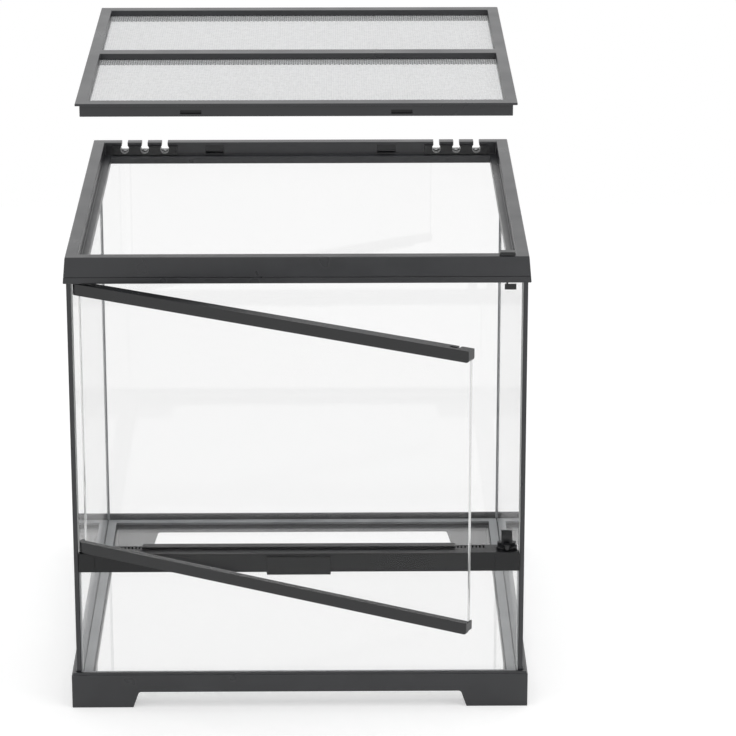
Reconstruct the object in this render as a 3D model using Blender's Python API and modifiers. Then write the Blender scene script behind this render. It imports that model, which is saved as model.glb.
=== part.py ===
# Glass terrarium with a raised base frame, a front door on a left hinge and a lift-off screen lid.
# Metres, +Z up, the door faces -Y. The origin lies on the standing surface, under the middle of
# the whole outline with the door ajar and the lid raised.

import math

import bmesh
import bpy
from mathutils import Vector

# Clearance between neighbouring pieces
gap = 0.0003
weld_distance = 0.000001

# Rounding of the moulded edges
frame_edge = 0.0006
rail_edge = 0.0005
fine_edge = 0.0004
strip_edge = 0.0003

# Glass box, outside sizes
tank_width = 0.310
tank_depth = 0.310
tank_height = 0.326
pane_thickness = 0.004
door_glass_thickness = 0.003

# Base frame
base_stand_out = 0.0035
base_height = 0.0258
base_ledge_top = 0.0150
base_ledge_reach = 0.0151
foot_height = 0.0115
foot_length = 0.0425
foot_slope = 0.0040
foot_rounding = 0.0022
base_lip_height = 0.0014
base_lip_inset = 0.0009

# Top frame, depths measured down from its rim
rim_width = 0.0084
rim_stand_out = 0.0005
rim_flare = 0.0016
top_frame_height = 0.0180
lid_seat_depth = 0.0095
lid_seat_reach = 0.0049
seat_lip_height = 0.0055
glass_groove_roof = 0.0060
front_bar_depth = 0.0115
shadow_line_height = 0.0006
shadow_line_cut = 0.0006
shadow_line_rise = 0.0042

# Front edge trims and silicone
trim_width = 0.0031
trim_depth = 0.0031
rear_seal_width = 0.0016
floor_seal_width = 0.0026
floor_seal_slope = 0.8
front_seal_width = 0.0007

# Middle rail that carries the door
sill_top = 0.1140
sill_height = 0.0136
sill_depth = 0.0156
sill_plate = 0.0030
sill_stand_out = 0.0016
sill_rear_wall = 0.0015
sill_rear_wall_reach = 0.0020
glass_into_sill = 0.0075
left_groove_inset = 0.0145
right_groove_inset = 0.0202
end_groove_height = 0.0084
end_groove_width = 0.0007
end_groove_cut = 0.0006

# Vent in the sill
vent_side_margin = 0.0470
vent_strip_height = 0.0015
vent_slot_count = 8
vent_slot_pitch = 0.0025
vent_slot_width = 0.0013
vent_slot_length = 0.0046
vent_front_inset = 0.0095
vent_window_wall = 0.0030
vent_notch_pitch = 0.0060
vent_notch_width = 0.0030
vent_notch_height = 0.0007

# Bare plate on the sill
plate_length = 0.0440
plate_height = 0.0132
plate_thickness = 0.0012
plate_overhang = 0.0015

# Door
door_open_angle = math.radians(29.8)
hinge_inset = 0.0080
door_plane_inset = 0.0030
door_end_gap = 0.0012
door_rail_height = 0.0078
door_rail_depth = 0.0076
door_head_gap = 0.0006
door_glass_bite = 0.0016
door_end_wall = 0.0009
door_corner_rounding = 0.0020
door_glass_start = -0.0010
pin_radius = 0.0015
pin_bite = 0.0045
pin_length_below = 0.0047

# Bolts that hold the shut door
bolt_inset = 0.0118
bolt_travel = 0.0045
upper_bolt_width = 0.0078
upper_bolt_thickness = 0.0016
upper_bolt_drop = 0.0060
upper_bolt_neck_width = 0.0013
upper_bolt_neck_shift = 0.0023
upper_bolt_cover = 0.0014
button_width = 0.0106
button_depth = 0.0064
button_height = 0.0024
button_socket = 0.0013
lower_bolt_plate_width = 0.0146
lower_bolt_plate_depth = 0.0076
lower_bolt_plate_height = 0.0015
lower_bolt_plate_reach = 0.0004
lower_bolt_peg_radius = 0.0024
lower_bolt_peg_height = 0.0039
lower_bolt_stem_width = 0.0075
lower_bolt_stem_depth = 0.0054
lower_bolt_stem_height = 0.0110
lower_bolt_stem_slope = 0.0026
lower_bolt_lobe_width = 0.0130
lower_bolt_lobe_depth = 0.0046
lower_bolt_lobe_height = 0.0030
lower_bolt_step = 0.0004

# Lid
lid_raise = 0.103
lid_flange_height = 0.0016
lid_skirt_inset = 0.0032
lid_skirt_wall = 0.0016
lid_border_side = 0.0079
lid_border_front = 0.0100
lid_bar_width = 0.0120
lid_bar_offset = 0.0040
lid_lip_height = 0.0041
screen_thickness = 0.0007
screen_bar = 0.0030
screen_openings = 12
retainer_height = 0.0028
retainer_width = 0.0030

# Lid clips, with their slots in the lid's skirt
rear_clip_side_margin = 0.0905
front_clip_side_margin = 0.0850
clip_width = 0.0135
clip_reach = 0.0025
clip_drop = 0.0021
clip_height = 0.0060
clip_slope = 0.0028
clip_tip = 0.0012
clip_slot_height = 0.0028
clip_slot_rise = 0.0016

# Cable inlets in the rear rail and the slides that close them
inlet_pitch = 0.0150
inlet_side_margin = 0.0380
inlet_slot_width = 0.0044
inlet_hole_radius = 0.0032
inlet_depth = 0.0080
slide_thickness = 0.0021
slide_drop = 0.0022
slide_margin = 0.0090

# Worked-out places
half_width = tank_width / 2
half_depth = tank_depth / 2
inner_x = half_width - pane_thickness
inner_y = half_depth - pane_thickness
fit_x = inner_x - gap
fit_y = inner_y - gap
glass_bottom = base_ledge_top + gap
floor_top = glass_bottom + pane_thickness
rim_bottom = tank_height - top_frame_height
groove_top = tank_height - glass_groove_roof
glass_top = groove_top - gap
seat_top = tank_height - lid_seat_depth
lip_bottom = seat_top - seat_lip_height
well_x = half_width + rim_stand_out - rim_width
well_y = half_depth + rim_stand_out - rim_width
mouth_x = well_x - lid_seat_reach
mouth_y = well_y - lid_seat_reach
trim_inner_x = half_width - trim_width
opening_x = trim_inner_x - gap
pane_front = -half_depth + trim_depth + gap
sill_front = -half_depth - sill_stand_out
sill_back = sill_front + sill_depth
sill_bottom = sill_top - sill_height
hinge_x = -half_width + hinge_inset
hinge_y = -half_depth + door_plane_inset
door_end_x = trim_inner_x - door_end_gap
door_half_rail = door_rail_depth / 2
door_glass_back = hinge_y + door_half_rail
door_glass_front = door_glass_back - door_glass_thickness
door_bottom = sill_top + gap
door_top = rim_bottom - door_head_gap
bolt_x = half_width - bolt_inset
neck_x = bolt_x - upper_bolt_neck_shift
inlet_middle_x = half_width - inlet_side_margin
rear_clip_x = half_width - rear_clip_side_margin
front_clip_x = half_width - front_clip_side_margin
half_strip = half_width - vent_side_margin
door_reach = door_end_x - hinge_x
outline_front = (
    hinge_y - door_reach * math.sin(door_open_angle) - door_half_rail * math.cos(door_open_angle)
)
outline_back = half_depth + base_stand_out
tank_shift = -(outline_front + outline_back) / 2
arc_steps = 8

parts = bpy.data.collections.new("glass_terrarium")
cutters = bpy.data.collections.new("cutters")
finishes = {
    "black_plastic": ((0.045, 0.045, 0.047, 1.0), 0.42, 0.0),
    "black_bolt_plastic": ((0.010, 0.010, 0.011, 1.0), 0.35, 0.0),
    "clear_glass": ((0.90, 0.95, 0.93, 0.35), 0.03, 0.0),
    "black_silicone": ((0.030, 0.030, 0.031, 1.0), 0.55, 0.0),
    "steel_screen": ((0.55, 0.56, 0.57, 1.0), 0.38, 1.0),
    "steel_pin": ((0.60, 0.60, 0.61, 1.0), 0.25, 1.0),
}
homes = {}


def clear_scene():
    for item in list(bpy.data.objects):
        bpy.data.objects.remove(item)
    bpy.context.scene.collection.children.link(parts)
    bpy.context.scene.collection.children.link(cutters)


def finish(name):
    material = bpy.data.materials.get(name)
    if material is None:
        colour, roughness, metallic = finishes[name]
        material = bpy.data.materials.new(name)
        material.use_nodes = True
        shader = material.node_tree.nodes["Principled BSDF"]
        shader.inputs["Base Color"].default_value = colour
        shader.inputs["Roughness"].default_value = roughness
        shader.inputs["Metallic"].default_value = metallic
        shader.inputs["Alpha"].default_value = colour[3]
    return material


def add_axis(name, home, parent=None):
    """An empty that carries a group of pieces. Its home is its place with the terrarium shut."""
    axis = bpy.data.objects.new(name, None)
    axis.empty_display_size = 0.02
    parts.objects.link(axis)
    homes[axis] = Vector(home)
    if parent is not None:
        axis.parent = parent
        axis.location = Vector(home) - homes[parent]
    return axis


def place(item, carrier, centre, material=None):
    """Puts a piece or a cutter on its carrier, at the place it has with the terrarium shut."""
    item.parent = carrier
    item.location = Vector(centre) - homes[carrier]
    if material is None:
        cutters.objects.link(item)
        item.hide_render = True
        item.display_type = "WIRE"
    else:
        parts.objects.link(item)
        item.data.materials.append(finish(material))
    return item


def box_mesh(name, low, high, top_inset=0.0):
    """A box about its own middle. top_inset draws its upper face in, or out where it is negative."""
    size = Vector(high) - Vector(low)
    mesh = bpy.data.meshes.new(name)
    shape = bmesh.new()
    bmesh.ops.create_cube(shape, size=1.0)
    bmesh.ops.scale(shape, vec=size, verts=shape.verts)
    for corner in shape.verts:
        if corner.co.z > 0:
            corner.co.x -= math.copysign(top_inset, corner.co.x)
            corner.co.y -= math.copysign(top_inset, corner.co.y)
    shape.to_mesh(mesh)
    shape.free()
    return mesh


def box(name, carrier, low, high, material=None, top_inset=0.0):
    mesh = box_mesh(name, low, high, top_inset)
    item = bpy.data.objects.new(name, mesh)
    return place(item, carrier, (Vector(low) + Vector(high)) / 2, material)


def cylinder(name, carrier, centre, radius, bottom, top, material=None, sides=20):
    mesh = bpy.data.meshes.new(name)
    shape = bmesh.new()
    bmesh.ops.create_cone(
        shape, cap_ends=True, segments=sides, radius1=radius, radius2=radius, depth=top - bottom
    )
    shape.to_mesh(mesh)
    shape.free()
    item = bpy.data.objects.new(name, mesh)
    return place(item, carrier, (*centre, (bottom + top) / 2), material)


def prism(name, carrier, outline, length, centre, material=None, turn=(0.0, 0.0, 0.0)):
    """A closed flat outline about the given centre, drawn out by half its length each way."""
    curve = bpy.data.curves.new(name, "CURVE")
    curve.dimensions = "2D"
    curve.fill_mode = "BOTH"
    curve.extrude = length / 2
    line = curve.splines.new("POLY")
    line.points.add(len(outline) - 1)
    for point, (across, up) in zip(line.points, outline):
        point.co = (across, up, 0.0, 1.0)
    line.use_cyclic_u = True
    drawn = bpy.data.objects.new(name, curve)
    cutters.objects.link(drawn)
    bpy.context.view_layer.update()
    graph = bpy.context.evaluated_depsgraph_get()
    mesh = bpy.data.meshes.new_from_object(drawn.evaluated_get(graph))
    bpy.data.objects.remove(drawn)
    shape = bmesh.new()
    shape.from_mesh(mesh)
    bmesh.ops.remove_doubles(shape, verts=shape.verts, dist=0.00001)
    bmesh.ops.recalc_face_normals(shape, faces=shape.faces)
    shape.to_mesh(mesh)
    shape.free()
    mesh.materials.clear()
    item = bpy.data.objects.new(name, mesh)
    item.rotation_euler = turn
    return place(item, carrier, centre, material)


def side_prism(name, carrier, outline, middle_x, length, material=None):
    """A prism along X, whose outline is given as (y, z) places in the tank."""
    turn = (math.radians(90), 0.0, math.radians(90))
    return prism(name, carrier, outline, length, (middle_x, 0.0, 0.0), material, turn)


def rounded(corners, steps=5):
    """A closed outline from its corners, each (across, up, radius), with an arc where it has a radius."""
    outline = []
    for index, (across, up, radius) in enumerate(corners):
        corner = Vector((across, up))
        if radius == 0:
            outline.append((across, up))
            continue
        before = (Vector(corners[index - 1][:2]) - corner).normalized()
        after = (Vector(corners[(index + 1) % len(corners)][:2]) - corner).normalized()
        half = before.angle(after) / 2
        middle = corner + (before + after).normalized() * radius / math.sin(half)
        start = (corner + before * radius / math.tan(half) - middle).normalized()
        end = (corner + after * radius / math.tan(half) - middle).normalized()
        for step in range(steps + 1):
            spoke = start.slerp(end, step / steps) * radius
            outline.append((middle.x + spoke.x, middle.y + spoke.y))
    return outline


def boolean(item, tool, operation):
    step = item.modifiers.new(operation.lower(), "BOOLEAN")
    step.operation = operation
    step.object = tool


def cut(item, tool):
    boolean(item, tool, "DIFFERENCE")


def join(item, tool):
    boolean(item, tool, "UNION")


def weld(item):
    """Joins corners that a cut leaves all but on top of each other."""
    step = item.modifiers.new("weld", "WELD")
    step.merge_threshold = weld_distance


def opening_grid(name, carrier, low, high):
    """A cutter of even rows of boxes that fill a rectangle, with bars of one width between them."""
    size = Vector(high) - Vector(low)
    pitch_x = (size.x + screen_bar) / screen_openings
    rows = max(1, round((size.y + screen_bar) / pitch_x))
    pitch_y = (size.y + screen_bar) / rows
    opening = Vector((pitch_x - screen_bar, pitch_y - screen_bar, size.z))
    shape = bmesh.new()
    for column in range(screen_openings):
        for row in range(rows):
            made = bmesh.ops.create_cube(shape, size=1.0)
            bmesh.ops.scale(shape, vec=opening, verts=made["verts"])
            middle_x = (column + 0.5) * pitch_x - screen_openings * pitch_x / 2
            middle_y = (row + 0.5) * pitch_y - rows * pitch_y / 2
            bmesh.ops.translate(shape, vec=(middle_x, middle_y, 0.0), verts=made["verts"])
    mesh = bpy.data.meshes.new(name)
    shape.to_mesh(mesh)
    shape.free()
    item = bpy.data.objects.new(name, mesh)
    return place(item, carrier, (Vector(low) + Vector(high)) / 2)


def round_edges(item, width, segments=2):
    step = item.modifiers.new("rounded edges", "BEVEL")
    step.width = width
    step.segments = segments
    step.limit_method = "ANGLE"
    step.angle_limit = math.radians(35)


def round_corner(item, across, up, radius):
    """Rounds the one edge of a part that runs front to back at a place in its own X and Z."""
    mesh = bmesh.new()
    mesh.from_mesh(item.data)
    corner = []
    for edge in mesh.edges:
        if all(abs(v.co.x - across) + abs(v.co.z - up) < gap for v in edge.verts):
            corner.append(edge)
    bmesh.ops.bevel(mesh, geom=corner, offset=radius, segments=4, profile=0.5, affect="EDGES")
    mesh.to_mesh(item.data)
    mesh.free()


def ring(name, carrier, outer, inner, bottom, top, material=None, margin=0.001):
    """A square ring from its outer and inner half sizes in X and Y."""
    item = box(name, carrier, (-outer[0], -outer[1], bottom), (outer[0], outer[1], top), material)
    hole = box(
        name + "_hole",
        carrier,
        (-inner[0], -inner[1], bottom - margin),
        (inner[0], inner[1], top + margin),
    )
    cut(item, hole)
    return item


def base_frame(tank):
    outer_x = half_width + base_stand_out
    outer_y = half_depth + base_stand_out
    ledge_x = outer_x - base_ledge_reach
    ledge_y = outer_y - base_ledge_reach
    over = 0.002
    frame = box(
        "bottom_frame",
        tank,
        (-outer_x, -outer_y, 0.0),
        (outer_x, outer_y, base_height),
        "black_plastic",
    )
    cut(frame, box("base_mouth", tank, (-ledge_x, -ledge_y, -over), (ledge_x, ledge_y, base_height + over)))
    cut(
        frame,
        box(
            "base_well",
            tank,
            (-half_width - gap, -half_depth - gap, base_ledge_top),
            (half_width + gap, half_depth + gap, base_height + over),
        ),
    )
    lip_x = outer_x - base_lip_inset
    lip_y = outer_y - base_lip_inset
    lip_bottom_z = base_height - base_lip_height
    cut(
        frame,
        ring(
            "base_lip_step",
            tank,
            (outer_x + over, outer_y + over),
            (lip_x, lip_y),
            lip_bottom_z,
            base_height + over,
            margin=over,
        ),
    )
    foot_end_x = outer_x - foot_length
    foot_end_y = outer_y - foot_length
    prism(
        "front_back_foot_gap",
        tank,
        foot_gap_outline(foot_end_x),
        2 * outer_y + 2 * over,
        (0.0, 0.0, 0.0),
        turn=(math.radians(90), 0.0, 0.0),
    )
    side_prism("side_foot_gap", tank, foot_gap_outline(foot_end_y), 0.0, 2 * outer_x + 2 * over)
    cut(frame, bpy.data.objects["front_back_foot_gap"])
    cut(frame, bpy.data.objects["side_foot_gap"])
    round_edges(frame, rail_edge)


def foot_gap_outline(half_ground):
    """The space between two feet, seen from the side, from below the ground up to the frame."""
    corners = [
        (-half_ground - foot_slope, -foot_height, 0),
        (half_ground + foot_slope, -foot_height, 0),
        (half_ground - foot_slope, foot_height, foot_rounding),
        (-half_ground + foot_slope, foot_height, foot_rounding),
    ]
    return rounded(corners)


def panes(tank):
    box(
        "bottom_pane",
        tank,
        (-fit_x, -fit_y, glass_bottom),
        (fit_x, fit_y, floor_top),
        "clear_glass",
    )
    for name, low_x, high_x in (
        ("left_pane", -half_width, -inner_x),
        ("right_pane", inner_x, half_width),
    ):
        box(name, tank, (low_x, pane_front, glass_bottom), (high_x, half_depth, glass_top), "clear_glass")
    box("back_pane", tank, (-fit_x, inner_y, glass_bottom), (fit_x, half_depth, glass_top), "clear_glass")
    box(
        "front_lower_pane",
        tank,
        (-fit_x, -half_depth, glass_bottom),
        (fit_x, -inner_y, sill_bottom + glass_into_sill),
        "clear_glass",
    )


def edge_trims(tank):
    for name, low_x, high_x in (
        ("left_edge_trim", -half_width, -trim_inner_x),
        ("right_edge_trim", trim_inner_x, half_width),
    ):
        trim = box(
            name,
            tank,
            (low_x, -half_depth, glass_bottom),
            (high_x, -half_depth + trim_depth, glass_top),
            "black_plastic",
        )
        round_edges(trim, fine_edge)


def seals(tank):
    seal_bottom = floor_top + gap
    seal_top = lip_bottom - gap
    length = seal_top - seal_bottom - floor_seal_width - gap
    middle = seal_top - length / 2
    for name, side in (("rear_left_seal", -1), ("rear_right_seal", 1)):
        corner = (side * fit_x, fit_y)
        outline = [
            corner,
            (corner[0] - side * rear_seal_width, corner[1]),
            (corner[0], corner[1] - rear_seal_width),
        ]
        prism(name, tank, outline, length, (0.0, 0.0, middle), "black_silicone")
    for name, side in (("front_left_seal", -1), ("front_right_seal", 1)):
        outer = side * opening_x
        inner = outer - side * front_seal_width
        box(
            name,
            tank,
            (min(outer, inner), -half_depth, glass_bottom),
            (max(outer, inner), -half_depth + trim_depth, sill_bottom - gap),
            "black_silicone",
        )
    bead = box(
        "floor_seal",
        tank,
        (-fit_x, -fit_y, seal_bottom),
        (fit_x, fit_y, seal_bottom + floor_seal_width),
        "black_silicone",
    )
    over = 0.001
    low_x = fit_x - floor_seal_width - over * floor_seal_slope
    low_y = fit_y - floor_seal_width - over * floor_seal_slope
    hollow = box(
        "floor_seal_hollow",
        tank,
        (-low_x, -low_y, seal_bottom - over),
        (low_x, low_y, seal_bottom + floor_seal_width + over),
        top_inset=-floor_seal_slope * (floor_seal_width + 2 * over),
    )
    cut(bead, hollow)


def top_frame(tank):
    rim_x = half_width + rim_stand_out
    rim_y = half_depth + rim_stand_out
    foot_x = rim_x + rim_flare
    foot_y = rim_y + rim_flare
    over = 0.002
    frame = box(
        "top_frame",
        tank,
        (-foot_x, -foot_y, rim_bottom),
        (foot_x, foot_y, tank_height),
        "black_plastic",
        top_inset=rim_flare,
    )
    cut(frame, box("lid_well", tank, (-well_x, -well_y, seat_top), (well_x, well_y, tank_height + over)))
    mouth_low = (-mouth_x, -mouth_y, rim_bottom - over)
    cut(frame, box("top_mouth", tank, mouth_low, (mouth_x, mouth_y, seat_top + over)))
    round_edges(frame, frame_edge)
    bar_back = -half_depth - rim_stand_out - rim_flare + front_bar_depth
    cut(
        frame,
        box("under_well", tank, (-fit_x, bar_back, rim_bottom - over), (fit_x, fit_y, lip_bottom)),
    )
    groove_x = half_width + gap
    groove_y = half_depth + gap
    for name, low, high in (
        ("left_glass_groove", (-groove_x, -groove_y), (-fit_x, groove_y)),
        ("right_glass_groove", (fit_x, -groove_y), (groove_x, groove_y)),
        ("rear_glass_groove", (-groove_x + gap, fit_y), (groove_x - gap, groove_y)),
    ):
        cut(frame, box(name, tank, (*low, rim_bottom - over), (*high, groove_top)))
    line_z = rim_bottom + shadow_line_rise
    flare_there = rim_flare * (tank_height - line_z) / top_frame_height
    line_x = rim_x + flare_there - shadow_line_cut
    line_y = rim_y + flare_there - shadow_line_cut
    cut(
        frame,
        ring(
            "shadow_line",
            tank,
            (foot_x + over, foot_y + over),
            (line_x, line_y),
            line_z,
            line_z + shadow_line_height,
            margin=over,
        ),
    )
    hole_z = tank_height - inlet_depth + inlet_hole_radius
    for side in (-1, 1):
        for step in (-1, 0, 1):
            middle = side * inlet_middle_x + step * inlet_pitch
            cut(frame, inlet_cutter(tank, middle, hole_z, mouth_y, foot_y + over))
    slot_half = upper_bolt_thickness / 2 + gap
    neck_half = upper_bolt_neck_width / 2 + gap
    cut(
        frame,
        box(
            "upper_bolt_slot",
            tank,
            (neck_x - bolt_travel - neck_half, hinge_y - slot_half, rim_bottom - over),
            (neck_x + neck_half, hinge_y + slot_half, tank_height + over),
        ),
    )
    cut(
        frame,
        cylinder(
            "upper_hinge_bore",
            tank,
            (hinge_x, hinge_y),
            pin_radius + gap,
            rim_bottom - over,
            rim_bottom + pin_bite + gap,
        ),
    )
    weld(frame)


def inlet_cutter(tank, middle, hole_z, front, back):
    """A keyhole along Y: a round hole with a narrower slot up to the rim."""
    length = back - front
    across = inlet_slot_width / 2
    start = math.asin(across / inlet_hole_radius)
    sweep = 2 * math.pi - 2 * start
    outline = [(-across, inlet_depth), (across, inlet_depth)]
    for step in range(2 * arc_steps + 1):
        angle = start + sweep * step / (2 * arc_steps)
        outline.append((inlet_hole_radius * math.sin(angle), inlet_hole_radius * math.cos(angle)))
    return prism(
        "inlet_keyhole",
        tank,
        outline,
        length,
        (middle, (front + back) / 2, hole_z),
        turn=(math.radians(90), 0.0, 0.0),
    )


def inlet_slide(name, carrier, side):
    """A strip on the lid seat with three notches, which shuts its inlets when pushed half a pitch."""
    half_length = inlet_pitch + slide_margin
    middle = side * inlet_middle_x
    back = well_y - gap
    hole_z = tank_height - inlet_depth + inlet_hole_radius
    strip = box(
        name,
        carrier,
        (middle - half_length, back - slide_thickness, seat_top + gap),
        (middle + half_length, back, tank_height - slide_drop),
        "black_plastic",
    )
    for step in (-1, 0, 1):
        notch = middle + step * inlet_pitch
        outline = [(-inlet_hole_radius, inlet_depth), (inlet_hole_radius, inlet_depth)]
        for turn in range(arc_steps + 1):
            angle = math.pi / 2 + math.pi * turn / arc_steps
            outline.append((inlet_hole_radius * math.sin(angle), inlet_hole_radius * math.cos(angle)))
        tool = prism(
            "slide_notch",
            carrier,
            outline,
            4 * slide_thickness,
            (notch, back - slide_thickness / 2, hole_z),
            turn=(math.radians(90), 0.0, 0.0),
        )
        cut(strip, tool)


def lid_clips(tank):
    top = tank_height - clip_drop
    tip = clip_reach + gap
    profile = [
        (gap, top),
        (tip, top - clip_slope),
        (tip, top - clip_slope - clip_tip),
        (gap, top - clip_height),
    ]
    for end, place_x, facing in (("rear", rear_clip_x, 1), ("front", front_clip_x, -1)):
        for side_name, side in (("left", -1), ("right", 1)):
            outline = [(facing * (well_y - inward), up) for inward, up in profile]
            side_prism(
                f"{end}_{side_name}_lid_clip",
                tank,
                outline,
                side * place_x,
                clip_width,
                "black_plastic",
            )


def middle_rail(tank):
    groove_back = -half_depth + pane_thickness + gap
    rear_wall_back = groove_back + sill_rear_wall
    glass_top_in_sill = sill_bottom + glass_into_sill + gap
    outline = [
        (sill_front, sill_bottom),
        (sill_front, sill_top),
        (sill_back, sill_top),
        (sill_back, sill_top - sill_plate),
        (rear_wall_back, sill_top - sill_plate),
        (rear_wall_back, sill_bottom + sill_rear_wall_reach),
        (groove_back, sill_bottom + sill_rear_wall_reach),
        (groove_back, glass_top_in_sill),
        (-half_depth - gap, glass_top_in_sill),
        (-half_depth - gap, sill_bottom),
    ]
    rail = side_prism("mid_rail", tank, outline, 0.0, 2 * opening_x, "black_plastic")
    over = 0.002
    for side in (-1, 1):
        inner = side * fit_x
        outer = side * (opening_x + over)
        cut(
            rail,
            box(
                "side_pane_notch",
                tank,
                (min(inner, outer), pane_front - gap, sill_bottom - over),
                (max(inner, outer), sill_back + over, sill_top + over),
            ),
        )
    round_edges(rail, fine_edge)
    vent_low = sill_front + vent_front_inset
    vent_high = vent_low + vent_slot_length
    for side in (-1, 1):
        for step in range(vent_slot_count):
            middle = side * (half_strip + vent_slot_pitch * (step + 0.75))
            cut(
                rail,
                box(
                    "vent_slot",
                    tank,
                    (middle - vent_slot_width / 2, vent_low, sill_top - sill_plate - over),
                    (middle + vent_slot_width / 2, vent_high, sill_top + over),
                ),
            )
        groove_x = side * (half_width - (left_groove_inset if side < 0 else right_groove_inset))
        groove_middle = sill_bottom + sill_height / 2 + end_groove_width
        cut(
            rail,
            box(
                "end_groove",
                tank,
                (groove_x - end_groove_width / 2, sill_front - over, groove_middle - end_groove_height / 2),
                (
                    groove_x + end_groove_width / 2,
                    sill_front + end_groove_cut,
                    groove_middle + end_groove_height / 2,
                ),
            ),
        )
    window_half = half_strip - vent_window_wall
    cut(
        rail,
        box(
            "vent_window",
            tank,
            (-window_half, vent_low, sill_top - sill_plate - over),
            (window_half, vent_high, sill_top + over),
        ),
    )
    cut(
        rail,
        cylinder(
            "lower_hinge_bore",
            tank,
            (hinge_x, hinge_y),
            pin_radius + gap,
            sill_top - pin_length_below - gap,
            sill_top + over,
        ),
    )


def vent_cover(tank):
    """The raised strip over the vent window. Notches along its rear edge let the air through."""
    front = hinge_y + door_half_rail + gap
    bottom = sill_top + gap
    top = bottom + vent_strip_height
    strip = box(
        "vent_strip",
        tank,
        (-half_strip, front, bottom),
        (half_strip, sill_back - gap, top),
        "black_plastic",
    )
    round_edges(strip, strip_edge, 1)
    notch_start = sill_front + vent_front_inset + vent_slot_length / 2
    count = int(2 * half_strip / vent_notch_pitch) - 1
    for step in range(count):
        middle = (step - (count - 1) / 2) * vent_notch_pitch
        cut(
            strip,
            box(
                "vent_notch",
                tank,
                (middle - vent_notch_width / 2, notch_start, bottom - vent_notch_height),
                (middle + vent_notch_width / 2, sill_back + vent_notch_height, bottom + vent_notch_height),
            ),
        )


def bare_plate(tank):
    plate_bottom = sill_bottom - plate_overhang
    plate = box(
        "badge_plate",
        tank,
        (-plate_length / 2, sill_front - gap - plate_thickness, plate_bottom),
        (plate_length / 2, sill_front - gap, plate_bottom + plate_height),
        "black_plastic",
    )
    round_edges(plate, fine_edge)


def door_rail(name, door, bottom, glass_low, glass_high, bore_low, bore_high):
    """A rail on the door's edge: half-round hinge end, a rebate behind for the glass, a bore for its pin."""
    outline = [
        (hinge_x, hinge_y - door_half_rail),
        (door_end_x, hinge_y - door_half_rail),
        (door_end_x, hinge_y + door_half_rail),
        (hinge_x, hinge_y + door_half_rail),
    ]
    for step in range(1, arc_steps):
        angle = math.pi / 2 + math.pi * step / arc_steps
        outline.append(
            (hinge_x + door_half_rail * math.cos(angle), hinge_y + door_half_rail * math.sin(angle))
        )
    home = homes[door]
    local = [(x - home.x, y - home.y) for x, y in outline]
    middle = (home.x, home.y, bottom + door_rail_height / 2)
    rail = prism(name, door, local, door_rail_height, middle, "black_plastic")
    over = 0.002
    round_corner(rail, door_end_x - home.x, -door_rail_height / 2, door_corner_rounding)
    round_edges(rail, rail_edge)
    rebate = box(
        name + "_glass_rebate",
        door,
        (hinge_x + door_glass_start - gap, door_glass_front - gap, glass_low),
        (door_end_x - door_end_wall, door_glass_back + over, glass_high),
    )
    cut(rail, rebate)
    bore = cylinder(name + "_bore", door, (hinge_x, hinge_y), pin_radius + gap, bore_low, bore_high)
    cut(rail, bore)
    return rail


def door_parts(door):
    over = 0.002
    glass_low = door_bottom + door_rail_height - door_glass_bite
    glass_high = door_top - door_rail_height + door_glass_bite
    box(
        "door_pane",
        door,
        (hinge_x + door_glass_start, door_glass_front, glass_low),
        (door_end_x - door_end_wall - gap, door_glass_back, glass_high),
        "clear_glass",
    )
    upper_bottom = door_top - door_rail_height
    upper_pin_bottom = door_top - pin_bite
    upper = door_rail(
        "door_top_rail",
        door,
        upper_bottom,
        upper_bottom - over,
        glass_high + gap,
        upper_pin_bottom - gap,
        door_top + over,
    )
    lower_pin_top = door_bottom + pin_bite
    lower = door_rail(
        "door_bottom_rail",
        door,
        door_bottom,
        glass_low - gap,
        door_bottom + door_rail_height + over,
        door_bottom - over,
        lower_pin_top + gap,
    )
    cylinder(
        "upper_hinge_pin",
        door,
        (hinge_x, hinge_y),
        pin_radius,
        upper_pin_bottom,
        rim_bottom + pin_bite,
        "steel_pin",
    )
    cylinder(
        "lower_hinge_pin",
        door,
        (hinge_x, hinge_y),
        pin_radius,
        sill_top - pin_length_below,
        lower_pin_top,
        "steel_pin",
    )
    upper_pocket(door, upper, glass_high)
    lower_pocket(door, lower)


def bolt_pocket(door, rail, name, middle, half_across, half_along, low, high):
    """An entry open to the rail's back, and beside it a chamber with a wall behind the bolt."""
    over = 0.002
    entry = box(
        name + "_entry",
        door,
        (middle - half_across, hinge_y - half_along, low),
        (middle + half_across, hinge_y + door_half_rail + over, high),
    )
    chamber = box(
        name + "_chamber",
        door,
        (middle - bolt_travel - half_across, hinge_y - half_along, low),
        (middle, hinge_y + half_along, high),
    )
    cut(rail, entry)
    cut(rail, chamber)


def upper_pocket(door, rail, glass_high):
    """Room for the bolt's plate under a thin cover, and a narrow way through the cover for its neck."""
    over = 0.002
    half_along = upper_bolt_thickness / 2 + gap
    cover_bottom = door_top - upper_bolt_cover
    bolt_pocket(
        door,
        rail,
        "plate_pocket",
        bolt_x,
        upper_bolt_width / 2 + gap,
        half_along,
        glass_high,
        cover_bottom,
    )
    bolt_pocket(
        door,
        rail,
        "neck_pocket",
        neck_x,
        upper_bolt_neck_width / 2 + gap,
        half_along,
        cover_bottom - 2 * gap,
        door_top + over,
    )


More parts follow.
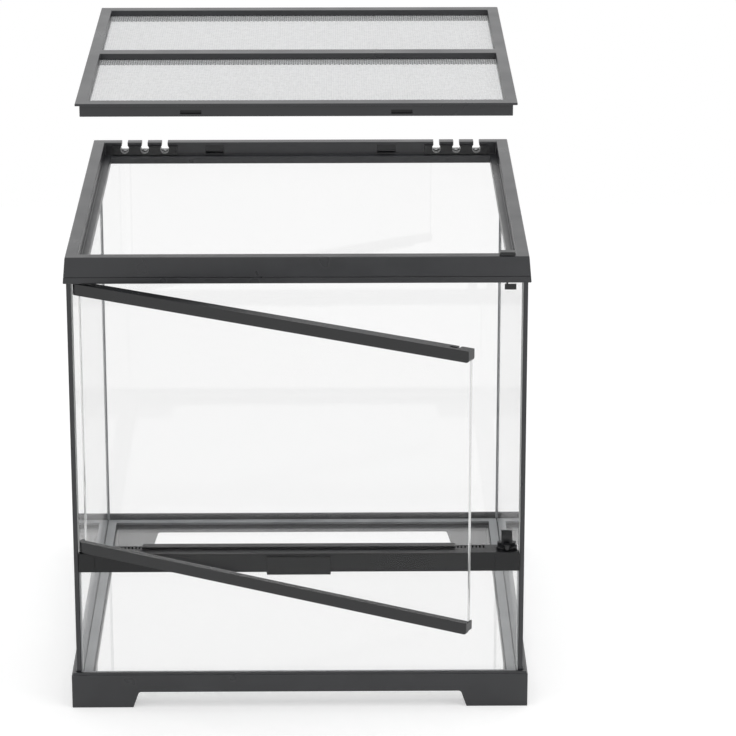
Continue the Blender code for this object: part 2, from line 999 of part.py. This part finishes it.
def lower_pocket(door, rail):
    """Room for the bolt's peg, and a shallow recess below the rail for its plate."""
    over = 0.002
    peg_half = lower_bolt_peg_radius + gap
    peg_top = door_bottom + lower_bolt_peg_height + gap
    bolt_pocket(door, rail, "peg_pocket", bolt_x, peg_half, peg_half, door_bottom - over, peg_top)
    plate_half = lower_bolt_plate_width / 2 + gap
    recess = box(
        "plate_recess",
        door,
        (
            bolt_x - bolt_travel - plate_half,
            hinge_y - lower_bolt_plate_reach - gap,
            door_bottom - over,
        ),
        (
            door_end_x + over,
            hinge_y + door_half_rail + over,
            door_bottom + lower_bolt_plate_height + gap,
        ),
    )
    cut(rail, recess)


def upper_bolt_parts(bolt):
    """A plate below the top frame on a neck that passes up through it to a button on the rim."""
    head_top = tank_height + gap + button_socket
    half_thick = upper_bolt_thickness / 2
    plate_bottom = rim_bottom - upper_bolt_drop
    plate_top = door_top - upper_bolt_cover - gap
    plate = box(
        "upper_bolt",
        bolt,
        (bolt_x - upper_bolt_width / 2, hinge_y - half_thick, plate_bottom),
        (bolt_x + upper_bolt_width / 2, hinge_y + half_thick, plate_top),
        "black_bolt_plastic",
    )
    neck_half = upper_bolt_neck_width / 2
    neck = box(
        "bolt_neck",
        bolt,
        (neck_x - neck_half, hinge_y - half_thick, plate_bottom + gap),
        (neck_x + neck_half, hinge_y + half_thick, head_top),
    )
    join(plate, neck)
    button = box(
        "upper_bolt_button",
        bolt,
        (neck_x - button_width / 2, hinge_y - button_depth / 2, tank_height + gap),
        (neck_x + button_width / 2, hinge_y + button_depth / 2, tank_height + gap + button_height),
        "black_bolt_plastic",
    )
    round_edges(button, rail_edge)
    socket = box(
        "button_socket",
        bolt,
        (neck_x - neck_half - gap, hinge_y - half_thick - gap, tank_height - gap),
        (neck_x + neck_half + gap, hinge_y + half_thick + gap, head_top + gap),
    )
    cut(button, socket)


def lower_bolt_parts(bolt):
    """A peg for the bottom rail's pocket, on a flat plate with a lobed foot and a thumb stem behind."""
    bottom = sill_top + gap
    step = lower_bolt_step
    stem_front = hinge_y + door_half_rail + gap
    stem_back = stem_front + lower_bolt_stem_depth
    stem_top = bottom + lower_bolt_stem_height
    outline = [
        (stem_front, bottom + 2 * step),
        (stem_front, stem_top - lower_bolt_stem_slope),
        (stem_back - lower_bolt_stem_slope / 2, stem_top),
        (stem_back, stem_top),
        (stem_back, bottom + 2 * step),
    ]
    home = homes[bolt]
    local = [(y - home.y, z - home.z) for y, z in outline]
    turn = (math.radians(90), 0.0, math.radians(90))
    stem = prism("lower_bolt", bolt, local, lower_bolt_stem_width, home, "black_bolt_plastic", turn)
    plate_front = hinge_y - lower_bolt_plate_reach
    for name, front, width, depth, low, height in (
        (
            "bolt_plate",
            plate_front,
            lower_bolt_plate_width,
            lower_bolt_plate_depth,
            bottom,
            lower_bolt_plate_height,
        ),
        (
            "bolt_lobes",
            stem_front + step,
            lower_bolt_lobe_width,
            lower_bolt_lobe_depth,
            bottom + step,
            lower_bolt_lobe_height,
        ),
    ):
        half = width / 2
        radius = 0.49 * depth
        corners = [
            (-half, -depth / 2, radius),
            (half, -depth / 2, radius),
            (half, depth / 2, radius),
            (-half, depth / 2, radius),
        ]
        centre = (bolt_x, front + depth / 2, low + height / 2)
        join(stem, prism(name, bolt, rounded(corners), height, centre))
    peg = cylinder(
        "bolt_peg",
        bolt,
        (bolt_x, hinge_y),
        lower_bolt_peg_radius,
        bottom + step,
        bottom + lower_bolt_peg_height,
    )
    join(stem, peg)


def lid_parts(lid):
    over = 0.002
    flange_x = well_x - gap - gap / 2
    flange_y = well_y - gap - gap / 2
    lid_top = tank_height + gap
    lid_bottom = seat_top + gap
    skirt_x = flange_x - lid_skirt_inset + gap
    skirt_y = flange_y - lid_skirt_inset + gap
    border_x = flange_x - lid_border_side
    border_y = flange_y - lid_border_front
    lip_z = lid_top - lid_lip_height
    cavity_x = skirt_x - lid_skirt_wall
    cavity_y = skirt_y - lid_skirt_wall
    bar_front = lid_bar_offset - lid_bar_width / 2
    bar_back = lid_bar_offset + lid_bar_width / 2
    frame = box(
        "lid_frame",
        lid,
        (-flange_x, -flange_y, lid_top - lid_flange_height),
        (flange_x, flange_y, lid_top),
        "black_plastic",
    )
    skirt_top = lid_top - lid_flange_height / 2
    join(frame, box("lid_skirt", lid, (-skirt_x, -skirt_y, lid_bottom), (skirt_x, skirt_y, skirt_top)))
    for name, low_y, high_y in (
        ("front_window", -border_y, bar_front),
        ("rear_window", bar_back, border_y),
    ):
        window = box(
            name, lid, (-border_x, low_y, lip_z - over), (border_x, high_y, lid_top + over)
        )
        cut(frame, window)
    round_edges(frame, fine_edge)
    cut(
        frame,
        box("lid_cavity", lid, (-cavity_x, -cavity_y, lid_bottom - over), (cavity_x, cavity_y, lip_z)),
    )
    slot_low = lid_bottom + clip_slot_rise
    for place_x, facing in ((rear_clip_x, 1), (front_clip_x, -1)):
        for side in (-1, 1):
            middle = side * place_x
            inner = facing * (cavity_y - over)
            outer = facing * (skirt_y + over)
            cut(
                frame,
                box(
                    "clip_slot",
                    lid,
                    (middle - clip_width / 2 - gap, min(inner, outer), slot_low),
                    (middle + clip_width / 2 + gap, max(inner, outer), slot_low + clip_slot_height),
                ),
            )
    screen_x = cavity_x - gap
    screen_y = cavity_y - gap
    screen_top = lip_z - gap
    screen_low = screen_top - screen_thickness
    middle = lid_bar_offset
    for name, low_y, high_y, hole_low, hole_high in (
        ("front_screen", -screen_y, middle - gap / 2, -border_y, bar_front),
        ("rear_screen", middle + gap / 2, screen_y, bar_back, border_y),
    ):
        sheet = box(
            name,
            lid,
            (-screen_x, low_y, screen_low),
            (screen_x, high_y, screen_top),
            "steel_screen",
        )
        openings = opening_grid(
            name + "_openings",
            lid,
            (-border_x, hole_low, screen_low - over),
            (border_x, hole_high, screen_top + over),
        )
        cut(sheet, openings)
    retainer_top = screen_low - gap
    retainer_low = retainer_top - retainer_height
    retainer = box(
        "screen_retainer",
        lid,
        (-screen_x, -screen_y, retainer_low),
        (screen_x, screen_y, retainer_top),
        "black_plastic",
    )
    hole_x = screen_x - retainer_width
    hole_y = screen_y - retainer_width
    for name, low_y, high_y in (
        ("front_retainer_hole", -hole_y, bar_front),
        ("rear_retainer_hole", bar_back, hole_y),
    ):
        cut(
            retainer,
            box(name, lid, (-hole_x, low_y, retainer_low - over), (hole_x, high_y, retainer_top + over)),
        )


def build():
    clear_scene()
    tank = add_axis("tank", (0.0, 0.0, 0.0))
    tank.location.y = tank_shift
    door = add_axis("door", (hinge_x, hinge_y, 0.0), tank)
    door.rotation_euler.z = -door_open_angle
    lid = add_axis("lid", (0.0, 0.0, 0.0), tank)
    lid.location.z = lid_raise
    upper = add_axis("upper_bolt_axis", (bolt_x, hinge_y, tank_height), tank)
    lower = add_axis("lower_bolt_axis", (bolt_x, hinge_y, sill_top), tank)
    left = add_axis("left_slide_axis", (-inlet_middle_x, well_y, seat_top), tank)
    right = add_axis("right_slide_axis", (inlet_middle_x, well_y, seat_top), tank)
    base_frame(tank)
    panes(tank)
    edge_trims(tank)
    seals(tank)
    top_frame(tank)
    lid_clips(tank)
    middle_rail(tank)
    vent_cover(tank)
    bare_plate(tank)
    door_parts(door)
    upper_bolt_parts(upper)
    lower_bolt_parts(lower)
    lid_parts(lid)
    inlet_slide("left_inlet_slide", left, -1)
    inlet_slide("right_inlet_slide", right, 1)
    bpy.context.view_layer.update()


build()
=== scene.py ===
import math

import bmesh
import bpy
from mathutils import Matrix, Vector


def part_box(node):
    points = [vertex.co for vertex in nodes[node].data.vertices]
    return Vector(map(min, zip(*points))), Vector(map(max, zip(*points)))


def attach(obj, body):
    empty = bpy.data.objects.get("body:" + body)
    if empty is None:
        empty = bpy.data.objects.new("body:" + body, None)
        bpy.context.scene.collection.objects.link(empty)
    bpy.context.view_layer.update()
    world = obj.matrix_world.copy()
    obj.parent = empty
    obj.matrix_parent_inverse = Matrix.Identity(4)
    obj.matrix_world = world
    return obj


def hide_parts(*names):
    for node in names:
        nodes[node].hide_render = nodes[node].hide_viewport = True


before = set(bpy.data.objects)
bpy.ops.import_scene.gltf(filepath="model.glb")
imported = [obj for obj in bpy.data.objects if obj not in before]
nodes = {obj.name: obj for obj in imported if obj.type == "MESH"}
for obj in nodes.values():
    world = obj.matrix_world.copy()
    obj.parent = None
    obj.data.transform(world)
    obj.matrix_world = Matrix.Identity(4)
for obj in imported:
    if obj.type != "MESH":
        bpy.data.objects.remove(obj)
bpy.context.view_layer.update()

scene = bpy.context.scene


# Small helpers

def linearColor(hexCode):
    # From sRGB to the linear values that the shaders take.
    channels = []
    for start in (0, 2, 4):
        value = int(hexCode[start:start + 2], 16) / 255
        channels.append(value / 12.92 if value <= 0.04045 else ((value + 0.055) / 1.055) ** 2.4)
    return (*channels, 1.0)


def addNode(tree, kind, settings=None, links=None):
    node = tree.nodes.new(kind)
    for key, value in (settings or {}).items():
        if key in node.inputs:
            node.inputs[key].default_value = value
        else:
            setattr(node, key, value)
    for key, source in (links or {}).items():
        tree.links.new(source, node.inputs[key])
    return node


def newMaterial(name):
    material = bpy.data.materials.new(name)
    material.use_nodes = True
    material.node_tree.nodes.clear()
    return material, material.node_tree


def mapRange(tree, source, fromLow, fromHigh, toLow, toHigh):
    settings = {"From Min": fromLow, "From Max": fromHigh, "To Min": toLow, "To Max": toHigh}
    return addNode(tree, "ShaderNodeMapRange", settings, {"Value": source}).outputs[0]


def noiseTexture(tree, place, size, detail, roughness=0.5):
    settings = {"Scale": 1 / size, "Detail": detail, "Roughness": roughness}
    return addNode(tree, "ShaderNodeTexNoise", settings, {"Vector": place}).outputs[0]


def colorBetween(tree, factor, dark, light):
    mix = addNode(tree, "ShaderNodeMix", {"data_type": "RGBA"}, {"Factor": factor})
    mix.inputs[6].default_value = linearColor(dark)
    mix.inputs[7].default_value = linearColor(light)
    return mix.outputs[2]


def strongest(tree, first, second):
    node = addNode(tree, "ShaderNodeMath", {"operation": "MAXIMUM"})
    tree.links.new(first, node.inputs[0])
    tree.links.new(second, node.inputs[1])
    return node.outputs[0]


def mixShaders(tree, factor, first, second):
    node = addNode(tree, "ShaderNodeMixShader", None, {"Fac": factor})
    tree.links.new(first, node.inputs[1])
    tree.links.new(second, node.inputs[2])
    return node.outputs[0]


def objectFromMesh(name, mesh, materials, smooth=False):
    data = bpy.data.meshes.new(name)
    mesh.to_mesh(data)
    mesh.free()
    piece = bpy.data.objects.new(name, data)
    scene.collection.objects.link(piece)
    for material in materials:
        data.materials.append(material)
    for face in data.polygons:
        face.use_smooth = smooth
    return piece


def joinRings(mesh, first, second):
    # A band of four-sided faces from one closed row of corners to the next.
    for index in range(len(first)):
        mesh.faces.new((first[index - 1], first[index], second[index], second[index - 1]))


# Materials

print("materials")

noiseBand = {
    "color": (0.35, 0.65),   # the stretch of a noise that runs from the dark colour to the light one
    "gloss": (0.3, 0.7),     # and from the sharpest gloss to the dullest
}

plastic = {
    "color": "2b2c2f",       # black ABS, a little lifted by dust and handling
    "darkColor": "242528",
    "grain": 0.00045,        # spark-eroded mould grain, drawn a little coarse so that it shows
    "grainRoughness": 0.55,
    "grainDepth": 0.00004,
    "bump": 0.5,
    "cloud": 0.03,           # slow flow marks
    "roughLow": 0.27,
    "roughHigh": 0.36,
    "ior": 1.56,
}


def mouldedPlastic(name, changes):
    # Moulded plastic or rubber with a fine etched grain: soft, broken highlights and cloudy gloss.
    values = {**plastic, **changes}
    material, tree = newMaterial(name)
    place = addNode(tree, "ShaderNodeTexCoord").outputs["Object"]
    grain = noiseTexture(tree, place, values["grain"], 2.0, values["grainRoughness"])
    cloud = noiseTexture(tree, place, values["cloud"], 3.0)
    wear = mapRange(tree, cloud, *noiseBand["color"], 0.0, 1.0)
    color = colorBetween(tree, wear, values["darkColor"], values["color"])
    rough = mapRange(tree, cloud, *noiseBand["gloss"], values["roughLow"], values["roughHigh"])
    bump = addNode(tree, "ShaderNodeBump", {"Strength": values["bump"], "Distance": values["grainDepth"]},
                   {"Height": grain})
    shader = addNode(tree, "ShaderNodeBsdfPrincipled", {"IOR": values["ior"]},
                     {"Base Color": color, "Roughness": rough, "Normal": bump.outputs[0]})
    addNode(tree, "ShaderNodeOutputMaterial", None, {"Surface": shader.outputs[0]})
    return material


framePlastic = mouldedPlastic("moulded_black_abs", {})
latchPlastic = mouldedPlastic("polished_black_acetal", {
    "color": "17181a", "darkColor": "121314", "grain": 0.0009, "grainDepth": 0.00001,
    "roughLow": 0.26, "roughHigh": 0.34, "ior": 1.48,
})
mattePlastic = mouldedPlastic("matt_black_abs", {
    "color": "141517", "darkColor": "0f1011", "roughLow": 0.30, "roughHigh": 0.40, "ior": 1.42,
})
satinPlastic = mouldedPlastic("satin_black_abs", {
    "color": "1d1e20", "darkColor": "18191a", "roughLow": 0.20, "roughHigh": 0.28, "ior": 1.50,
})
siliconeBead = mouldedPlastic("grey_silicone", {
    "color": "a0a2a4", "darkColor": "8e9092", "grain": 0.0025, "grainDepth": 0.00006,
    "roughLow": 0.3, "roughHigh": 0.42, "ior": 1.41,
})
hemVinyl = mouldedPlastic("black_vinyl_spline", {
    "color": "1a1b1c", "darkColor": "141516", "roughLow": 0.5, "roughHigh": 0.6,
})

steel = {
    "color": "b9bbbd",
    "darkColor": "9c9ea1",
    "spot": 0.004,           # size of the brighter and duller patches
    "roughLow": 0.28,
    "roughHigh": 0.42,
}


def drawnSteel(name, changes):
    # Drawn stainless steel: grey metal, slightly dull from the die.
    values = {**steel, **changes}
    material, tree = newMaterial(name)
    place = addNode(tree, "ShaderNodeTexCoord").outputs["Object"]
    noise = noiseTexture(tree, place, values["spot"], 3.0)
    wear = mapRange(tree, noise, *noiseBand["color"], 0.0, 1.0)
    color = colorBetween(tree, wear, values["darkColor"], values["color"])
    rough = mapRange(tree, noise, *noiseBand["gloss"], values["roughLow"], values["roughHigh"])
    shader = addNode(tree, "ShaderNodeBsdfPrincipled", {"Metallic": 1.0},
                     {"Base Color": color, "Roughness": rough})
    addNode(tree, "ShaderNodeOutputMaterial", None, {"Surface": shader.outputs[0]})
    return material


pinSteel = drawnSteel("drawn_steel_pin", {})
wireSteel = drawnSteel("stainless_wire", {"color": "f0f1f2", "darkColor": "e2e3e4"})

glass = {
    "tint": "fdfdfd",        # clear float glass, hardly tinted
    "lampTint": "fdfefe",    # colour of the light that passes through it
    "haze": 0.04,            # dust and wiping marks that lift what lies behind
    "ior": 1.46,
    "grain": 0.05,           # size of the wiping marks
    "grainDepth": 0.00001,
    "bump": 0.2,
    "roughness": 0.0,
}


def floatGlass(name, changes):
    # Float glass: fire-polished faces, edges ground with a belt. Lamps shine through it.
    values = {**glass, **changes}
    material, tree = newMaterial(name)
    place = addNode(tree, "ShaderNodeTexCoord").outputs["Object"]
    noise = noiseTexture(tree, place, values["grain"], 2.0)
    bump = addNode(tree, "ShaderNodeBump", {"Strength": values["bump"], "Distance": values["grainDepth"]},
                   {"Height": noise})
    body = {
        "Base Color": linearColor(values["tint"]),
        "Roughness": values["roughness"],
        "IOR": values["ior"],
        "Transmission Weight": 1.0 - values["haze"],
    }
    shader = addNode(tree, "ShaderNodeBsdfPrincipled", body, {"Normal": bump.outputs[0]})
    clear = addNode(tree, "ShaderNodeBsdfTransparent", {"Color": linearColor(values["lampTint"])})
    rays = addNode(tree, "ShaderNodeLightPath")
    through = mixShaders(tree, rays.outputs["Is Shadow Ray"], shader.outputs[0], clear.outputs[0])
    addNode(tree, "ShaderNodeOutputMaterial", None, {"Surface": through})
    return material


tankGlass = floatGlass("float_glass", {})
doorGlass = floatGlass("thin_float_glass", {
    "haze": 0.0,
    "ior": 1.15,             # below real glass, because the door in the photo reflects next to nothing
})
groundGlass = floatGlass("ground_glass_edge", {
    "tint": "dadcdb",        # the ground edge looks through the whole width of the sheet
    "haze": 0.35,            # the belt leaves it frosted
    "grain": 0.0006,         # belt scratches
    "grainDepth": 0.00004,
    "roughness": 0.12,
})


# Materials of the CAD nodes that stay as they are

print("finishes of the CAD nodes")

finishes = {
    framePlastic: ["bottom_frame", "top_frame", "lid_frame", "left_edge_trim", "right_edge_trim"],
    satinPlastic: ["door_top_rail", "door_bottom_rail"],
    mattePlastic: ["mid_rail", "vent_strip", "badge_plate", "screen_retainer"],
    latchPlastic: ["upper_bolt", "upper_bolt_button", "lower_bolt", "left_inlet_slide", "right_inlet_slide",
                   "front_left_lid_clip", "front_right_lid_clip",
                   "rear_left_lid_clip", "rear_right_lid_clip"],
    siliconeBead: ["front_left_seal", "front_right_seal", "floor_seal"],
    pinSteel: ["upper_hinge_pin", "lower_hinge_pin"],
}
for material, names in finishes.items():
    for name in names:
        data = nodes[name].data
        if not data.materials:
            data.materials.append(material)
        for index in range(len(data.materials)):
            data.materials[index] = material


# Glass

print("glass panes")

pane = {
    "arris": 0.0004,         # the small flat ground on each edge of a sheet
    "faceLimit": 0.99,       # a face that looks this far along the sheet's thin axis is fire-polished
    "doorAngle": -29.8,      # the door stands open by this angle
    "hinge": (-0.147, -0.07963, 0.0),
    "tankSheets": (
        # node, thin axis
        ("left_pane", 0),
        ("right_pane", 0),
        ("back_pane", 1),
        ("front_lower_pane", 1),
        ("bottom_pane", 2),
    ),
}


def paneCorners(node, angle, pivot):
    turnBack = Matrix.Rotation(math.radians(-angle), 3, "Z")
    points = [pivot + turnBack @ (v.co - pivot) for v in nodes[node].data.vertices]
    low = Vector([min(p[axis] for p in points) for axis in range(3)])
    high = Vector([max(p[axis] for p in points) for axis in range(3)])
    return low, high


def glassPane(node, body, thin, sheet, angle=0.0, hinge=(0.0, 0.0, 0.0)):
    pivot = Vector(hinge)
    low, high = paneCorners(node, angle, pivot)
    mesh = bmesh.new()
    bmesh.ops.create_cube(mesh, size=1.0)
    bmesh.ops.scale(mesh, vec=high - low, verts=mesh.verts)
    bmesh.ops.translate(mesh, vec=(high + low) / 2, verts=mesh.verts)
    bmesh.ops.bevel(mesh, geom=mesh.edges[:], offset=pane["arris"], segments=1, profile=0.5, affect="EDGES",
                    material=-1)
    for face in mesh.faces:
        face.material_index = 0 if abs(face.normal[thin]) > pane["faceLimit"] else 1
    bmesh.ops.rotate(mesh, cent=pivot, matrix=Matrix.Rotation(math.radians(angle), 3, "Z"), verts=mesh.verts)
    piece = objectFromMesh(node + "_glass", mesh, [sheet, groundGlass])
    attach(piece, body)
    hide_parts(node)


for name, thin in pane["tankSheets"]:
    glassPane(name, "tank", thin, tankGlass)
glassPane("door_pane", "door", 1, doorGlass, pane["doorAngle"], pane["hinge"])


# Silicone in the back corners

print("corner silicone")

fillet = {
    "leg": 0.0010,           # how far the tooled bead reaches along each sheet
    "touch": 0.00028,        # across the clearance that the solids keep from the glass
    "steps": 6,
}


def siliconeFillet(node, side):
    low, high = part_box(node)
    cornerX = low.x - fillet["touch"] if side < 0 else high.x + fillet["touch"]
    cornerY = high.y + fillet["touch"]
    outline = [(cornerX, cornerY)]
    for step in range(fillet["steps"] + 1):
        angle = math.pi / 2 * step / fillet["steps"]
        inward = fillet["leg"] * (1 - math.sin(angle))
        forward = fillet["leg"] * (1 - math.cos(angle))
        outline.append((cornerX - side * inward, cornerY - forward))
    mesh = bmesh.new()
    foot = [mesh.verts.new((x, y, low.z)) for x, y in outline]
    head = [mesh.verts.new((x, y, high.z)) for x, y in outline]
    mesh.faces.new(foot)
    mesh.faces.new(head)
    joinRings(mesh, foot, head)
    bmesh.ops.recalc_face_normals(mesh, faces=mesh.faces)
    piece = objectFromMesh(node + "_fillet", mesh, [siliconeBead])
    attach(piece, "tank")
    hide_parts(node)


siliconeFillet("rear_left_seal", -1)
siliconeFillet("rear_right_seal", 1)


# Screens

print("lid screens")

screen = {
    "pitch": 0.0016,         # between wire middles
    "wire": 0.00026,         # wire diameter
    "wireSides": 3,
    "wave": 0.00014,         # how far a wire rises over its neighbours
    "weld": 0.00002,         # joins the repeats of a wire end to end
    "hem": 0.0025,           # the cut ends stop this far from the lid's wall
    "hemLap": 0.0002,        # how far the hem laps over them
    "hemSink": 0.0001,       # the hem is thinner than the solid screen by this on each side
}


def wireScreen(node):
    # One cell of two wires each way, at a quarter and three quarters of it, one over and one under, repeated
    # across the screen. The wires run on to the cross bar and stop short of the lid's wall elsewhere.
    low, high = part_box(node)
    hem = Vector((screen["hem"], 0.0, 0.0))
    low, high = low + hem, high - hem
    if node == "front_screen":
        low.y += screen["hem"]
    else:
        high.y -= screen["hem"]
    size = high - low
    countX = round(size.x / (2 * screen["pitch"]))
    countY = round(size.y / (2 * screen["pitch"]))
    half = screen["wire"] / 2
    stepX = (size.x - 2 * half) / countX
    stepY = (size.y - 2 * half) / countY
    middle = (low.z + high.z) / 2
    mesh = bmesh.new()
    for along, across, stepAlong, stepAcross in ((0, 1, stepX, stepY), (1, 0, stepY, stepX)):
        turn = Matrix.Rotation(math.radians(90), 3, "Y" if along == 0 else "X")
        for index in (0, 1):
            rise = screen["wave"] * (1 if (index + along) % 2 else -1)
            made = bmesh.ops.create_circle(mesh, cap_ends=False, radius=half, segments=screen["wireSides"])
            bmesh.ops.rotate(mesh, matrix=turn, verts=made["verts"])
            start = Vector((low.x + half, low.y + half, middle + rise))
            start[across] += stepAcross * (0.25 + 0.5 * index)
            bmesh.ops.translate(mesh, vec=start, verts=made["verts"])
            edges = [e for e in mesh.edges if all(v in made["verts"] for v in e.verts)]
            for climb in (-2 * rise, 2 * rise):
                grown = bmesh.ops.extrude_edge_only(mesh, edges=edges)["geom"]
                verts = [g for g in grown if isinstance(g, bmesh.types.BMVert)]
                edges = [g for g in grown if isinstance(g, bmesh.types.BMEdge)]
                shift = Vector((0.0, 0.0, climb))
                shift[along] = stepAlong / 2
                bmesh.ops.translate(mesh, vec=shift, verts=verts)
    bmesh.ops.recalc_face_normals(mesh, faces=mesh.faces)
    piece = objectFromMesh(node + "_wires", mesh, [wireSteel], smooth=True)
    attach(piece, "lid")
    for count, offset in ((countX, (stepX, 0, 0)), (countY, (0, stepY, 0))):
        array = piece.modifiers.new("repeat", "ARRAY")
        array.count = count
        array.use_relative_offset = False
        array.use_constant_offset = True
        array.constant_offset_displace = offset
        array.use_merge_vertices = True
        array.merge_threshold = screen["weld"]
    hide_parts(node)


def screenHem(node):
    low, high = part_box(node)
    band = screen["hem"] + screen["hemLap"]
    foot, head = low.z + screen["hemSink"], high.z - screen["hemSink"]
    mesh = bmesh.new()
    rings = []
    for inset, level in ((0.0, foot), (0.0, head), (band, head), (band, foot)):
        left, right, front, back = low.x + inset, high.x - inset, low.y + inset, high.y - inset
        corners = ((left, front), (right, front), (right, back), (left, back))
        rings.append([mesh.verts.new((x, y, level)) for x, y in corners])
    for ring, following in zip(rings, rings[1:] + rings[:1]):
        joinRings(mesh, ring, following)
    bmesh.ops.recalc_face_normals(mesh, faces=mesh.faces)
    piece = objectFromMesh(node + "_hem", mesh, [hemVinyl])
    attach(piece, "lid")


for name in ("front_screen", "rear_screen"):
    wireScreen(name)
    screenHem(name)


# Stage, lamps and camera

print("stage")

stage = {
    "floorSize": 2.4,        # beyond it the world is as white as the paper
    "floorColor": "d8d8d8",
    "floorGlow": 0.48,       # lifts the paper to white for the camera and in gloss, and keeps the shadow
    "white": (1, 1, 1, 1),
}

studio = {
    "fill": 0.55,            # how much the white world lights the tank
    "lamps": (
        # name, place, size, watts
        ("top_softbox", (0.0, 0.1, 2.2), 1.8, 16.0),
        ("right_softbox", (1.8, -1.0, 1.5), 1.2, 10.0),
        ("left_softbox", (-1.9, -1.1, 1.3), 1.2, 3.5),
    ),
    "aim": (0.0, 0.0, 0.2),
}

shot = {
    "place": (0.0232, -2.31763, 0.990),
    "tilt": 18.375,          # degrees below level
    "pan": -0.62,
    "lens": 170.46,
    "sensor": 36.0,
    "near": 0.05,
    "far": 50.0,
}


def paperMaterial():
    material, tree = newMaterial("pale_paper")
    rays = addNode(tree, "ShaderNodeLightPath").outputs
    seen = strongest(tree, rays["Is Camera Ray"], rays["Is Glossy Ray"])
    strength = mapRange(tree, seen, 0.0, 1.0, 0.0, stage["floorGlow"])
    paper = addNode(tree, "ShaderNodeBsdfDiffuse", {"Color": linearColor(stage["floorColor"])})
    glow = addNode(tree, "ShaderNodeEmission", {"Color": stage["white"]}, {"Strength": strength})
    total = addNode(tree, "ShaderNodeAddShader")
    tree.links.new(paper.outputs[0], total.inputs[0])
    tree.links.new(glow.outputs[0], total.inputs[1])
    white = addNode(tree, "ShaderNodeEmission", {"Color": stage["white"], "Strength": 1.0})
    surface = mixShaders(tree, rays["Is Transmission Ray"], total.outputs[0], white.outputs[0])
    addNode(tree, "ShaderNodeOutputMaterial", None, {"Surface": surface})
    return material


def paleFloor():
    mesh = bmesh.new()
    bmesh.ops.create_grid(mesh, x_segments=1, y_segments=1, size=stage["floorSize"] / 2)
    floor = objectFromMesh("floor", mesh, [paperMaterial()])


def whiteWorld():
    world = bpy.data.worlds.new("studio")
    scene.world = world
    world.use_nodes = True
    tree = world.node_tree
    tree.nodes.clear()
    rays = addNode(tree, "ShaderNodeLightPath").outputs
    seen = strongest(tree, rays["Is Camera Ray"], rays["Is Glossy Ray"])
    alsoThrough = strongest(tree, seen, rays["Is Transmission Ray"])
    strength = mapRange(tree, alsoThrough, 0.0, 1.0, studio["fill"], 1.0)
    back = addNode(tree, "ShaderNodeBackground", {"Color": stage["white"]}, {"Strength": strength})
    addNode(tree, "ShaderNodeOutputWorld", None, {"Surface": back.outputs[0]})


def softLamps():
    for name, place, size, watts in studio["lamps"]:
        lamp = bpy.data.lights.new(name, "AREA")
        lamp.shape = "SQUARE"
        lamp.size = size
        lamp.energy = watts
        item = bpy.data.objects.new(name, lamp)
        scene.collection.objects.link(item)
        item.location = place
        item.rotation_euler = (Vector(studio["aim"]) - Vector(place)).to_track_quat("-Z", "Y").to_euler()
        item.visible_glossy = False
        item.visible_transmission = False


def photoCamera():
    data = bpy.data.cameras.new("camera")
    data.lens = shot["lens"]
    data.sensor_width = shot["sensor"]
    data.clip_start = shot["near"]
    data.clip_end = shot["far"]
    camera = bpy.data.objects.new("camera", data)
    scene.collection.objects.link(camera)
    camera.location = shot["place"]
    camera.rotation_euler = (math.radians(90 - shot["tilt"]), 0.0, math.radians(shot["pan"]))
    scene.camera = camera


paleFloor()
whiteWorld()
softLamps()
photoCamera()
scene.view_settings.view_transform = "Standard"

print("done")
